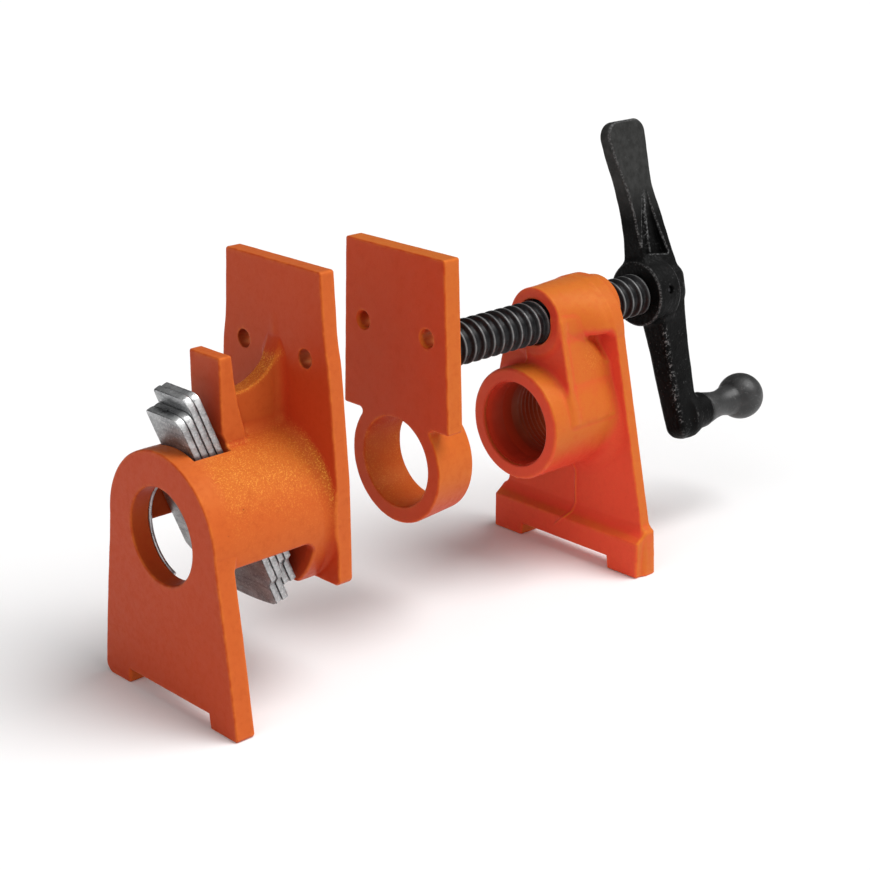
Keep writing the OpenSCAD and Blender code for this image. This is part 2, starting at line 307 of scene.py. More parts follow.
# ------------------------------------------------------------------ meshes from distance fields
def surface(f, lo, hi, h):
    """Surface nets: the zero level of f as vertices and quads, in millimetres."""
    lo, hi = np.array(lo, float), np.array(hi, float)
    n = np.ceil((hi - lo) / h).astype(int) + 1
    ax = [(lo[i] + h * np.arange(n[i])) for i in range(3)]
    # only the blocks that the surface can reach are worked out in full
    v = np.empty(n, np.float32)
    B = 14
    mid = [np.arange(0, n[i], B) for i in range(3)]
    cen = [ax[i][np.minimum(mid[i] + B // 2, n[i] - 1)] for i in range(3)]
    rough = f(cen[0][:, None, None], cen[1][None, :, None], cen[2][None, None, :])
    rough = np.broadcast_to(rough, [len(c) for c in cen])
    reach = 0.87 * B * h * 1.45 + 1.0
    for i, a in enumerate(mid[0]):
        for j, b in enumerate(mid[1]):
            near = np.abs(rough[i, j]) < reach
            for k, c in enumerate(mid[2]):
                if not near[k]:
                    v[a:a + B, b:b + B, c:c + B] = rough[i, j, k]
            k = 0
            while k < len(mid[2]):
                if near[k]:
                    e = k
                    while e + 1 < len(mid[2]) and near[e + 1]:
                        e += 1
                    c0, c1 = mid[2][k], mid[2][e] + B
                    v[a:a + B, b:b + B, c0:c1] = f(ax[0][a:a + B, None, None], ax[1][None, b:b + B, None],
                                                   ax[2][None, None, c0:c1])
                    k = e
                k += 1
    v[v == 0] = 1e-6
    ins = v < 0
    corners = [(a, b, c) for a in (0, 1) for b in (0, 1) for c in (0, 1)]
    cut = lambda arr, o: arr[o[0]:n[0] - 1 + o[0], o[1]:n[1] - 1 + o[1], o[2]:n[2] - 1 + o[2]]
    cnt = sum(cut(ins, o).astype(np.int8) for o in corners)
    cells = np.argwhere((cnt > 0) & (cnt < 8))
    idx = np.full(n - 1, -1, np.int32)
    idx[tuple(cells.T)] = np.arange(len(cells))
    acc = np.zeros((len(cells), 3))
    num = np.zeros(len(cells))
    for o in corners:
        for d in range(3):
            if o[d] == 0:
                o2 = list(o)
                o2[d] = 1
                a = v[tuple((cells + o).T)].astype(float)
                b = v[tuple((cells + o2).T)].astype(float)
                m = (a < 0) != (b < 0)
                t = np.where(m, a / np.where(m, a - b, 1), 0)
                q = np.array(o, float)[None, :].repeat(len(cells), 0)
                q[:, d] = t
                acc += q * m[:, None]
                num += m
    p = lo + h * (cells + acc / num[:, None])
    quads = []
    for d in range(3):
        e1, e2 = (d + 1) % 3, (d + 2) % 3
        a = np.moveaxis(ins, d, 0)
        ch = np.argwhere(a[1:] != a[:-1])
        full = np.zeros_like(ch)
        full[:, d] = ch[:, 0]
        rest = [k for k in range(3) if k != d]
        full[:, rest[0]] = ch[:, 1]
        full[:, rest[1]] = ch[:, 2]
        ok = (full[:, e1] > 0) & (full[:, e2] > 0) & (full[:, e1] < n[e1] - 1) & (full[:, e2] < n[e2] - 1)
        full = full[ok]
        c = []
        for o1, o2 in ((0, 0), (-1, 0), (-1, -1), (0, -1)):
            w = full.copy()
            w[:, e1] += o1
            w[:, e2] += o2
            c.append(idx[tuple(w.T)])
        c = np.array(c).T
        flip = ~ins[tuple(full.T)]
        c[flip] = c[flip][:, ::-1]
        quads.append(c)
    return p, np.concatenate(quads)


def grad(f, p, e=0.12):
    g = np.zeros_like(p)
    for k in ((1, -1, -1), (-1, -1, 1), (-1, 1, -1), (1, 1, 1)):
        k = np.array(k, float)
        q = p + k * e
        g += k * f(q[:, 0], q[:, 1], q[:, 2])[:, None]
    return g / (4 * e)


def project(f, p, n, cap):
    for _ in range(n):
        d = f(p[:, 0], p[:, 1], p[:, 2])
        g = grad(f, p, 0.05)
        m = np.maximum((g * g).sum(1), 0.15)
        s = -(d / m)[:, None] * g
        ln = np.linalg.norm(s, axis=1, keepdims=True)
        p = p + s * np.minimum(1, cap / np.maximum(ln, 1e-9))
    return p


def curvature(f, p, e=0.6):
    c = -6 * f(p[:, 0], p[:, 1], p[:, 2])
    for d in range(3):
        for sgn in (-1, 1):
            q = p.copy()
            q[:, d] += sgn * e
            c += f(q[:, 0], q[:, 1], q[:, 2])
    return c / (e * e)


def new_mesh(name, verts, faces, smooth=True):
    me = bpy.data.meshes.new(name)
    verts = np.asarray(verts, np.float32)
    me.vertices.add(len(verts))
    me.vertices.foreach_set("co", verts.ravel())
    if isinstance(faces, np.ndarray):
        k = faces.shape[1]
        tot = np.full(len(faces), k, np.int32)
        flat = faces.astype(np.int32).ravel()
    else:
        tot = np.array([len(q) for q in faces], np.int32)
        flat = np.array([i for q in faces for i in q], np.int32)
    me.loops.add(len(flat))
    me.loops.foreach_set("vertex_index", flat)
    me.polygons.add(len(tot))
    me.polygons.foreach_set("loop_start", np.concatenate([[0], np.cumsum(tot)[:-1]]).astype(np.int32))
    me.polygons.foreach_set("loop_total", tot)
    me.update(calc_edges=True)
    me.validate()
    me.polygons.foreach_set("use_smooth", np.full(len(me.polygons), smooth, bool))
    return me


def new_object(name, me):
    ob = bpy.data.objects.new(name, me)
    bpy.context.scene.collection.objects.link(ob)
    return ob


def attribute(me, name, values):
    a = me.attributes.new(name, "FLOAT", "POINT")
    a.data.foreach_set("value", np.ascontiguousarray(values, np.float32))


def cast_object(name, f, lo, hi, h, faces, to_part=None, extra=None, painted_light_at=None, wear_and_highlight=None):
    """A casting meshed from its distance field: fine where it curves, coarse where it is flat."""
    p, q = surface(f, lo, hi, h)
    p = project(f, p, 2, h * 0.5)
    if to_part is not None and np.linalg.det(to_part[0]) < 0:
        q = q[:, ::-1]
    me = new_mesh(name, p, q)
    ob = new_object(name, me)
    ratio = faces / (2 * len(q))
    if ratio < 1:
        mod = ob.modifiers.new("thin", "DECIMATE")
        mod.ratio = ratio
        dg = bpy.context.evaluated_depsgraph_get()
        thin = bpy.data.meshes.new_from_object(ob.evaluated_get(dg), depsgraph=dg)
        ob.modifiers.clear()
        ob.data = thin
        bpy.data.meshes.remove(me)
        me = thin
        me.name = name
    n = len(me.vertices)
    co = np.empty(n * 3, np.float32)
    me.vertices.foreach_get("co", co)
    p = co.reshape(-1, 3).astype(float)
    p = project(f, p, 2, h * 0.3)
    g = grad(f, p)
    g /= np.maximum(np.linalg.norm(g, axis=1, keepdims=True), 1e-9)
    k = curvature(f, p)
    painted_light = painted_light_at(p) if painted_light_at else np.zeros(n)
    # vertex masks: convex edges for wear and painted highlights, creases and holes for painted shade, rough skin with
    # painted sheen, and per part a mask of painted shade or, on the crank, painted glints
    attribute(me, "edge", np.clip(k * 0.7, 0, 1) * (wear_and_highlight(p) if wear_and_highlight else 1.0))
    attribute(me, "hollow", np.maximum(np.clip(-k * 1.6, 0, 1), np.clip(painted_light * 4, 0, 1)))
    attribute(me, "skin_and_sheen", extra(p, g) if extra else np.full(n, 0.3))
    attribute(me, "painted_light", painted_light)
    if to_part is not None:
        p = p @ to_part[0].T + to_part[1]
        g = g @ to_part[0].T
    me.vertices.foreach_set("co", (p * MM).astype(np.float32).ravel())
    me.polygons.foreach_set("use_smooth", np.ones(len(me.polygons), bool))
    me.update()
    me.normals_split_custom_set_from_vertices([tuple(v) for v in g])
    return ob


def grid_faces(nu, nv, wrap_v=True):
    i = np.arange(nu - 1)[:, None]
    j = np.arange(nv if wrap_v else nv - 1)[None, :]
    j2 = (j + 1) % nv
    a, b, c, d = i * nv + j, (i + 1) * nv + j, (i + 1) * nv + j2, i * nv + j2
    return np.stack([np.broadcast_to(k, (nu - 1, j.shape[1])) for k in (a, b, c, d)], -1).reshape(-1, 4)


def lathe(name, prof, centre, n=96, sharp=38):
    """A body of revolution about an axis along X. prof is (x, r) in order; ends at r 0 close the shape."""
    prof = [tuple(q) for q in prof]
    a = np.linspace(0, 2 * np.pi, n, endpoint=False)
    verts, faces, rings = [], [], []
    for x, r in prof:
        if r < 1e-6:
            rings.append([len(verts)])
            verts.append((x, centre[0], centre[1]))
        else:
            rings.append(list(range(len(verts), len(verts) + n)))
            verts += [(x, centre[0] + r * math.cos(k), centre[1] + r * math.sin(k)) for k in a]
    pairs = list(zip(rings, rings[1:]))
    if len(rings[0]) > 1 and len(rings[-1]) > 1:
        pairs.append((rings[-1], rings[0]))
    for r0, r1 in pairs:
        for j in range(n):
            k = (j + 1) % n
            if len(r0) == 1:
                faces.append((r0[0], r1[k], r1[j]))
            elif len(r1) == 1:
                faces.append((r0[j], r0[k], r1[0]))
            else:
                faces.append((r0[j], r0[k], r1[k], r1[j]))
    me = new_mesh(name, np.array(verts) * MM, faces)
    fix_normals(me)
    me.set_sharp_from_angle(angle=math.radians(sharp))
    return new_object(name, me)


def fix_normals(me):
    import bmesh
    bm = bmesh.new()
    bm.from_mesh(me)
    bmesh.ops.recalc_face_normals(bm, faces=bm.faces[:])
    bm.to_mesh(me)
    bm.free()


def arc(cx, cy, r, a0, a1, n):
    """(x, r) points on an arc of a profile, angles in degrees."""
    return [(cx + r * math.cos(math.radians(a0 + (a1 - a0) * i / n)),
             cy + r * math.sin(math.radians(a0 + (a1 - a0) * i / n))) for i in range(n + 1)]


# ------------------------------------------------------------------ materials
class Tree:
    def __init__(self, name):
        self.m = bpy.data.materials.new(name)
        self.m.use_nodes = True
        self.t = self.m.node_tree
        self.b = self.t.nodes["Principled BSDF"]
        self.co = self.node("ShaderNodeTexCoord").outputs["Object"]

    def node(self, kind, **kw):
        n = self.t.nodes.new(kind)
        for k, v in kw.items():
            setattr(n, k, v)
        return n

    def put(self, sock, v):
        if isinstance(v, bpy.types.NodeSocket):
            self.t.links.new(v, sock)
        elif isinstance(v, (tuple, list)) and len(v) == 3 and sock.type == "RGBA":
            sock.default_value = (*v, 1)
        else:
            sock.default_value = v

    def noise(self, scale, detail=3, rough=0.5, w=None, distort=0.0, co=None):
        n = self.node("ShaderNodeTexNoise")
        self.put(n.inputs["Vector"], co or self.co)
        n.inputs["Scale"].default_value = scale
        n.inputs["Detail"].default_value = detail
        n.inputs["Roughness"].default_value = rough
        n.inputs["Distortion"].default_value = distort
        return n.outputs["Fac"]

    def cells(self, scale, feature="F1", co=None):
        n = self.node("ShaderNodeTexVoronoi", feature=feature)
        self.put(n.inputs["Vector"], co or self.co)
        n.inputs["Scale"].default_value = scale
        return n.outputs["Distance"]

    def math(self, op, a, b=0.0, clamp=False):
        n = self.node("ShaderNodeMath", operation=op, use_clamp=clamp)
        self.put(n.inputs[0], a)
        self.put(n.inputs[1], b)
        return n.outputs[0]

    def ramp(self, fac, lo, hi, a=0.0, b=1.0):
        n = self.node("ShaderNodeMapRange", interpolation_type="SMOOTHSTEP")
        self.put(n.inputs["Value"], fac)
        n.inputs["From Min"].default_value = lo
        n.inputs["From Max"].default_value = hi
        n.inputs["To Min"].default_value = a
        n.inputs["To Max"].default_value = b
        return n.outputs["Result"]

    def mix(self, fac, a, b):
        n = self.node("ShaderNodeMix", data_type="RGBA")
        self.put(n.inputs["Factor"], fac)
        self.put(n.inputs["A"] if "A" in n.inputs and n.inputs["A"].type == "RGBA" else n.inputs[6], a)
        self.put(n.inputs[7], b)
        return n.outputs[2]

    def attr(self, name):
        n = self.node("ShaderNodeAttribute", attribute_name=name)
        return n.outputs["Fac"]

    def stretch(self, sx, sy, sz):
        n = self.node("ShaderNodeMapping")
        self.put(n.inputs["Vector"], self.co)
        n.inputs["Scale"].default_value = (sx, sy, sz)
        return n.outputs["Vector"]

    def bump(self, height, strength, dist, normal=None):
        n = self.node("ShaderNodeBump")
        self.put(n.inputs["Height"], height)
        self.put(n.inputs["Strength"], strength)
        n.inputs["Distance"].default_value = dist
        if normal is not None:
            self.put(n.inputs["Normal"], normal)
        return n.outputs["Normal"]

    def done(self, color=None, rough=None, normal=None, metallic=None, **kw):
        for k, v in (("Base Color", color), ("Roughness", rough), ("Normal", normal), ("Metallic", metallic)):
            if v is not None:
                self.put(self.b.inputs[k], v)
        for k, v in kw.items():
            self.b.inputs[k.replace("_", " ")].default_value = v
        return self.m


def orange_paint(name, shaded_color, lit_color, top_light=0.5):
    """Orange enamel with painted light: faces turned from the light get a shaded red, faces turned to it a lit orange.
    """
    t = Tree(name)
    edge, hollow, skin_and_sheen, painted_light = t.attr("edge"), t.attr("hollow"), t.attr("skin_and_sheen"), t.attr("painted_light")
    mottle = t.noise(48, 3, 0.55)
    fine = t.noise(520, 4, 0.6)
    # painted light: shaded red on faces turned from the key light, lit orange on faces turned toward it
    side = t.node("ShaderNodeVectorMath", operation="DOT_PRODUCT")
    t.put(side.inputs[0], t.node("ShaderNodeTexCoord").outputs["Normal"])
    side.inputs[1].default_value = (0.40, -0.66, 0.64)
    base = t.mix(t.ramp(t.math("ADD", side.outputs["Value"], t.ramp(mottle, 0.3, 0.7, -0.07, 0.07)), 0.0, 0.64), shaded_color, lit_color)
    # painted light: upward faces lean to a golden orange, as if lit from above
    top = t.node("ShaderNodeVectorMath", operation="DOT_PRODUCT")
    t.put(top.inputs[0], t.node("ShaderNodeTexCoord").outputs["Normal"])
    top.inputs[1].default_value = (0.0, -0.1, 0.995)
    base = t.mix(t.ramp(top.outputs["Value"], 0.80, 0.99, 0.0, top_light), base, (0.60, 0.170, 0.018))
    # painted sheen: a golden highlight on the rough skin that faces the light
    base = t.mix(t.ramp(skin_and_sheen, 0.25, 1.0, 0.0, 0.42), base, (0.66, 0.20, 0.022))
    base = t.mix(t.math("MULTIPLY", t.ramp(fine, 0.45, 0.75), 0.22), base, tuple(v * 0.78 for v in shaded_color))
    # painted shade: darker and redder in the concave corners and holes; along the convex edges the paint is lighter,
    # partly wear and partly a painted highlight
    base = t.mix(t.math("MULTIPLY", hollow, 0.50), base, (shaded_color[0] * 0.96, shaded_color[1] * 0.72, shaded_color[2] * 0.95))
    edge_wear_and_highlight = t.math("MULTIPLY", edge, t.ramp(t.noise(300, 3, 0.6), 0.38, 0.62, 0.08, 0.36))
    base = t.mix(edge_wear_and_highlight, base, (0.78, 0.20, 0.035))
    # painted glints: bright golden specks on the rough skin where the grain catches the light
    grain = t.noise(2200, 3, 0.62)
    painted_glint = t.math("MULTIPLY", t.ramp(grain, 0.50, 0.64), t.math("MULTIPLY", skin_and_sheen, t.ramp(t.noise(90, 2), 0.25, 0.60, 0.35, 1.0)))
    base = t.mix(t.math("MULTIPLY", painted_glint, 0.62), base, (0.95, 0.46, 0.075))
    # a few pinholes with dirt in them
    pin = t.math("MULTIPLY", t.ramp(t.cells(230), 0.07, 0.03), t.ramp(t.noise(38, 2), 0.60, 0.68))
    base = t.mix(t.math("MULTIPLY", pin, 0.5), base, (0.10, 0.02, 0.008))
    # painted shade: dark brown in the holes, the bores and inside the barrel, where the light does not reach
    base = t.mix(t.math("MULTIPLY", painted_light, 0.85), base, (0.20, 0.020, 0.007))
    swell = t.noise(170, 2, 0.5)
    n1 = t.bump(swell, 0.14, 0.0004)
    n2 = t.bump(grain, t.ramp(skin_and_sheen, 0.1, 1, 0.10, 0.95), 0.00032, n1)
    n3 = t.bump(t.math("SUBTRACT", 1.0, pin), 0.5, 0.0002, n2)
    rough = t.math("SUBTRACT", t.ramp(fine, 0.3, 0.75, 0.40, 0.54), t.math("MULTIPLY", painted_glint, 0.16))
    m = t.done(base, rough, n3)
    t.b.inputs["Specular IOR Level"].default_value = 0.33
    t.b.inputs["Specular Tint"].default_value = (1.0, 0.62, 0.12, 1)
    return m


def black_cast(name):
    t = Tree(name)
    edge, skin_and_sheen, ridge = t.attr("edge"), t.attr("skin_and_sheen"), t.attr("painted_light")
    mottle = t.noise(90, 3, 0.6)
    base = t.mix(t.ramp(mottle, 0.35, 0.7), (0.003, 0.003, 0.003), (0.007, 0.007, 0.007))
    # the paddle is lighter and its fine bump weaker
    base = t.mix(skin_and_sheen, base, t.mix(t.ramp(t.noise(420, 3, 0.6), 0.3, 0.7), (0.026, 0.026, 0.025), (0.040, 0.040, 0.039)))
    # lighter along the convex edges: partly wear, partly a painted highlight
    wear_and_highlight = t.math("MULTIPLY", t.ramp(edge, 0.35, 0.95), t.ramp(t.noise(1500, 3, 0.65), 0.44, 0.60, 0.10, 0.85))
    base = t.mix(wear_and_highlight, base, (0.12, 0.12, 0.12))
    dust = t.math("MULTIPLY", t.ramp(t.cells(800), 0.26, 0.12), t.ramp(t.noise(130, 2), 0.50, 0.62))
    base = t.mix(t.math("MULTIPLY", dust, 0.22), base, (0.14, 0.14, 0.14))
    # painted glints along the lower arm's rounded corner and the upper rib
    glint = t.math("MULTIPLY", ridge, t.ramp(t.noise(1100, 3, 0.7), 0.52, 0.62))
    base = t.mix(glint, base, (0.24, 0.24, 0.24))
    n1 = t.bump(t.noise(230, 3, 0.55), 0.55, 0.0006)
    n2 = t.bump(t.noise(950, 3, 0.6), t.ramp(skin_and_sheen, 0, 1, 0.75, 0.25), 0.00032, n1)
    rough = t.ramp(t.noise(300, 3), 0.3, 0.7, 0.30, 0.48)
    m = t.done(base, rough, n2)
    t.b.inputs["Specular IOR Level"].default_value = 0.05
    return m


def black_screw(name):
    t = Tree(name)
    crest = t.attr("crest")
    n = t.noise(500, 4, 0.65, co=t.stretch(1, 1, 1))
    base = t.mix(t.ramp(n, 0.35, 0.7), (0.006, 0.006, 0.007), (0.015, 0.015, 0.016))
    worn = t.math("MULTIPLY", crest, t.ramp(t.noise(260, 3, 0.6), 0.30, 0.58, 0.35, 1.0))
    base = t.mix(worn, base, (0.19, 0.19, 0.19))
    nrm = t.bump(t.noise(900, 3, 0.6), 0.25, 0.0002)
    rough = t.ramp(n, 0.3, 0.75, 0.28, 0.44)
    m = t.done(base, rough, nrm, metallic=t.math("MULTIPLY", worn, 0.3))
    t.b.inputs["Specular IOR Level"].default_value = 0.26
    return m


def black_knob(name):
    t = Tree(name)
    n = t.noise(160, 4, 0.6)
    base = t.mix(t.ramp(n, 0.35, 0.7), (0.016, 0.016, 0.016), (0.032, 0.032, 0.032))
    flecks = t.math("MULTIPLY", t.ramp(t.noise(1000, 3, 0.65), 0.56, 0.70), 0.5)
    base = t.mix(flecks, base, (0.10, 0.10, 0.10))
    ring = t.noise(700, 3, 0.6, co=t.stretch(5.0, 0.6, 0.6))
    n1 = t.bump(ring, 0.15, 0.0002)
    n2 = t.bump(t.noise(1100, 3, 0.6), 0.40, 0.0002, n1)
    m = t.done(base, t.ramp(n, 0.3, 0.7, 0.34, 0.50), n2)
    t.b.inputs["Specular IOR Level"].default_value = 0.42
    return m


def plate_steel(name):
    t = Tree(name)
    edge = t.attr("edge")
    grit = t.noise(1500, 4, 0.75)
    drawn = t.noise(620, 4, 0.65, co=t.stretch(1.0, 0.16, 1.0))
    base = t.mix(t.ramp(t.noise(160, 4, 0.6), 0.35, 0.68), (0.22, 0.225, 0.23), (0.42, 0.425, 0.43))
    base = t.mix(t.math("MULTIPLY", t.ramp(drawn, 0.50, 0.64), 0.65), base, (0.10, 0.105, 0.11))
    base = t.mix(t.math("MULTIPLY", t.ramp(grit, 0.53, 0.66), 0.60), base, (0.74, 0.74, 0.74))
    base = t.mix(t.math("MULTIPLY", t.ramp(grit, 0.47, 0.36), 0.55), base, (0.14, 0.14, 0.145))
    base = t.mix(t.math("MULTIPLY", edge, 0.34), base, (0.72, 0.72, 0.72))
    # painted shade: dark lines along the seams between the plates and a dark shadow on the first two tabs
    seam_and_tab_shade = t.math("MULTIPLY", t.attr("seam_and_tab_shade"), t.ramp(t.noise(800, 3, 0.7), 0.36, 0.56, 0.45, 1.0))
    base = t.mix(seam_and_tab_shade, base, (0.022, 0.022, 0.024))
    # painted highlight: white glints on the rounded tab corners
    base = t.mix(t.math("MULTIPLY", t.attr("glint"), t.ramp(t.noise(700, 3, 0.7), 0.34, 0.50, 0.3, 1.0)), base, (0.98, 0.98, 0.97))
    n1 = t.bump(drawn, 0.45, 0.0002)
    n2 = t.bump(grit, 0.60, 0.00016, n1)
    rough = t.ramp(t.noise(330, 3, 0.6), 0.3, 0.7, 0.28, 0.48)
    return t.done(base, rough, n2, metallic=0.8)


def wire_steel(name, dark=False):
    t = Tree(name)
    n = t.noise(900, 4, 0.6)
    a, b = ((0.05, 0.05, 0.055), (0.12, 0.12, 0.125)) if dark else ((0.42, 0.42, 0.43), (0.62, 0.62, 0.63))
    base = t.mix(t.ramp(n, 0.35, 0.7), a, b)
    nrm = t.bump(t.noise(2600, 3, 0.6), 0.2, 0.0001)
    return t.done(base, t.ramp(n, 0.3, 0.7, 0.25, 0.45), nrm, metallic=0.9)


# painted light per body: each body gets its own lit and shaded pair and top tone; the socket's copy is darker and
# redder, a painted shade
M_TAIL = orange_paint("orange_tail", (0.47, 0.042, 0.011), (0.55, 0.100, 0.021), 0.15)
M_JAW = orange_paint("orange_jaw", (0.54, 0.046, 0.013), (0.57, 0.118, 0.019), 0.35)
M_HEAD = orange_paint("orange_head", (0.73, 0.064, 0.034), (0.57, 0.122, 0.020))
M_SOCKET_SHADED = orange_paint("orange_socket_shaded", (0.62, 0.046, 0.022), (0.66, 0.056, 0.022), 0.0)
M_CRANK = black_cast("black_casting")
M_SCREW = black_screw("black_screw")
M_KNOB = black_knob("black_knob")
M_PLATE = plate_steel("clutch_steel")
M_WIRE = wire_steel("spring_wire")
M_PIN = wire_steel("steel_pin", True)


def finish_piece(ob, body, node, mat):
    ob.data.materials.clear()
    ob.data.materials.append(mat)
    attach(ob, body)
    if node:
        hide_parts(node)
    return ob


# ------------------------------------------------------------------ the castings
# rough skin with a painted golden sheen: the barrel's upper side that faces the light, the fillet to the jaw plate and
# the scoop
def tail_skin_and_sheen(p, g):
    u = p[:, 0] + 137
    rho = np.hypot(p[:, 1], p[:, 2])
    barrel = np.clip(1 - np.abs(rho - 24.6) / 1.5, 0, 1) * np.clip((u - 5) / 4, 0, 1) * np.clip((40 - u) / 3, 0, 1)
    turn = np.degrees(np.arctan2(-p[:, 1], p[:, 2]))
    barrel = barrel * np.exp(-((turn - 40) / 30) ** 2)
    fillet = np.exp(-((rho - 25.9) / 1.1) ** 2) * (u > 36) * (u < 41.3) * np.exp(-((turn - 52) / 28) ** 2)
    scoop = np.clip(1 - np.abs(np.hypot(u - 25.8, p[:, 2] - 52) - 15.8) / 1.3, 0, 1) * (np.abs(p[:, 1]) < 5) * (u > 22)
    scoop = scoop * np.clip((46 - p[:, 2]) / 3, 0, 1)
    return np.clip(0.03 + 0.80 * barrel * (1 - fillet) + 1.0 * fillet + 1.0 * scoop, 0, 1)


# painted shade in the pad holes, inside the barrel and in the bore's mouth
def tail_painted_shade(p):
    hole = np.hypot(np.abs(p[:, 1]) - 13.5, p[:, 2] - 45) - 2.6
    inside = (np.hypot(p[:, 1], p[:, 2]) < 21.6) & (p[:, 0] > -130.0) & (p[:, 0] < -102.0)
    mouth = (np.hypot(p[:, 1], p[:, 2]) < 14.7) & (p[:, 0] < -130.5)
    return np.clip(0.75 * np.clip(1 - (hole - 0.1) / 0.25, 0, 1) + 0.25 * inside + 0.25 * mouth, 0, 1)


# painted shade in the pad holes and the bore
def jaw_painted_shade(p):
    hole = np.hypot(np.abs(p[:, 1]) - 13.8, p[:, 2] - 41.5) - 2.6
    bore = np.clip((14.8 - np.hypot(p[:, 1], p[:, 2])) / 0.5, 0, 1)
    return 0.35 * np.clip(1 - (hole - 0.1) / 0.25, 0, 1) * (p[:, 0] > -49.5) + 0.16 * bore


tail = cast_object("tail_jaw_casting", tail_sdf, (-138.6, -32.2, -52), (-90, 32.2, 71.6), 0.36, 130000, extra=tail_skin_and_sheen,
                   painted_light_at=tail_painted_shade)
finish_piece(tail, "tail_jaw", "tail_casting", M_TAIL)
# the jaw's bore carries more rough skin and painted sheen
jaw = cast_object("moving_jaw_casting", jaw_sdf, (-52, -24, -20.2), (-35, 24, 67), 0.36, 80000,
                  extra=lambda p, g: np.where(np.hypot(p[:, 1], p[:, 2]) < 14.8, 0.30, 0.04), painted_light_at=jaw_painted_shade)
finish_piece(jaw, "moving_jaw", "jaw_casting", M_JAW)
# the head's rough skin and painted sheen lie on a band across the web; the socket mouth gets painted shade and no edge
# highlight
head = cast_object("head_main_casting", head_sdf, (-1, -33.5, -52), (39.5, 33.5, 44.5), 0.36, 120000,
                   extra=lambda p, g: 0.06 + 0.4 * np.clip(1 - np.abs(p[:, 2] - 20) / 5, 0, 1) * np.clip(1 - np.abs(p[:, 0] - 21) / 8, 0, 1),
                   painted_light_at=lambda p: 0.2 * (np.hypot(p[:, 1], p[:, 2]) < 14.2) * (p[:, 0] < 3),
                   wear_and_highlight=lambda p: 1 - 0.95 * (np.hypot(p[:, 1], p[:, 2]) < 14.9) * (p[:, 0] < 3))
finish_piece(head, "head", "head_casting", M_HEAD)


def crank_ridge_glint(p):
    """Painted glints along the rounded corner of the lower arm and on the rib in the recess above the hub."""
    x, s, at = p[:, 0], p[:, 1], np.abs(p[:, 2])
    low = np.exp(-(np.hypot(x - LOW_A(s) - 0.9, at - LOW_H(s) + 0.7) / 0.85) ** 2) * np.clip((-9 - s) / 4, 0, 1) * (s > -46)
    up = np.exp(-((x - 64.6) / 1.3) ** 2) * (at < 4.2) * np.clip((s - 13) / 2, 0, 1) * np.clip((34 - s) / 5, 0, 1) * (at > 1.2)
    return np.clip(0.85 * low + 0.45 * up, 0, 1)


LEAN = math.radians(14)
R_CRANK = np.array([[1, 0, 0], [0, math.sin(LEAN), math.cos(LEAN)], [0, math.cos(LEAN), -math.sin(LEAN)]])
crank = cast_object("crank_casting", crank_sdf, (51.4, -53.8, -12), (82, 58, 12), 0.32, 80000,
                    to_part=(R_CRANK, np.array([0, 0, 32.0])), extra=lambda p, g: np.clip((p[:, 1] - 24) / 12, 0, 1),
                    painted_light_at=crank_ridge_glint, wear_and_highlight=lambda p: 1 - 0.9 * (np.hypot(p[:, 0] - 62.5, p[:, 1]) < 3.2) - 0.8 * (np.hypot(p[:, 0] - 59.8, p[:, 1] - 13.4) < 1.8))
finish_piece(crank, "screw", "crank_handle", M_CRANK)


# ------------------------------------------------------------------ thread cut in the head's socket
def socket_thread():
    pitch = 1.814
    x0, x1 = 1.2, 32.4
    n = 144
    xs = np.arange(x0, x1, pitch / (12))
    a = np.linspace(0, 2 * np.pi, n, endpoint=False)
    X, A = np.meshgrid(xs, a, indexing="ij")
    ph = ((X - pitch * A / (2 * np.pi)) / pitch) % 1.0
    tri = np.clip((np.abs(ph - 0.5) * 2 - 0.08) / 0.84, 0, 1)
    depth = 0.42 * np.clip((X - 13.0) / 5.0, 0.0, 1)
    minor = 12.1 + 0.95 * np.clip((11.0 - X) / 3.0, 0, 1) + 0.5 * np.clip((3.2 - X) / 2.2, 0, 1) ** 1.5
    r = np.minimum(minor + depth * tri, 13.45)
    inner = np.stack([X, r * np.cos(A), r * np.sin(A)], -1).reshape(-1, 3)
    nx = len(xs)
    outer = np.array([(x, 14.1 * math.cos(k), 14.1 * math.sin(k)) for x in (xs[-1], xs[0]) for k in a])
    verts = np.concatenate([inner, outer])
    faces = grid_faces(nx + 2, n)
    last = (nx + 1) * n + np.arange(n)
    first = np.arange(n)
    close = np.stack([last, first, np.roll(first, -1), np.roll(last, -1)], -1)
    me = new_mesh("head_socket_thread", verts * MM, np.concatenate([faces, close]))
    fix_normals(me)
    # painted highlight on the thread crests deeper in, and painted shade over the whole socket, darker deeper in
    tv = np.concatenate([np.clip(1 - tri.ravel() * 3, 0, 1), np.zeros(2 * n)])
    attribute(me, "edge", tv * 0.4 * (verts[:, 0] > 13))
    attribute(me, "hollow", np.full(len(verts), 0.6))
    attribute(me, "skin_and_sheen", np.zeros(len(verts)))
    attribute(me, "painted_light", np.concatenate([1.0 * np.clip((X.ravel() - 1.0) / 11.0, 0, 1) ** 1.1, np.zeros(2 * n)]))
    me.set_sharp_from_angle(angle=math.radians(50))
    return new_object("head_socket_thread", me)


finish_piece(socket_thread(), "head", None, M_SOCKET_SHADED)


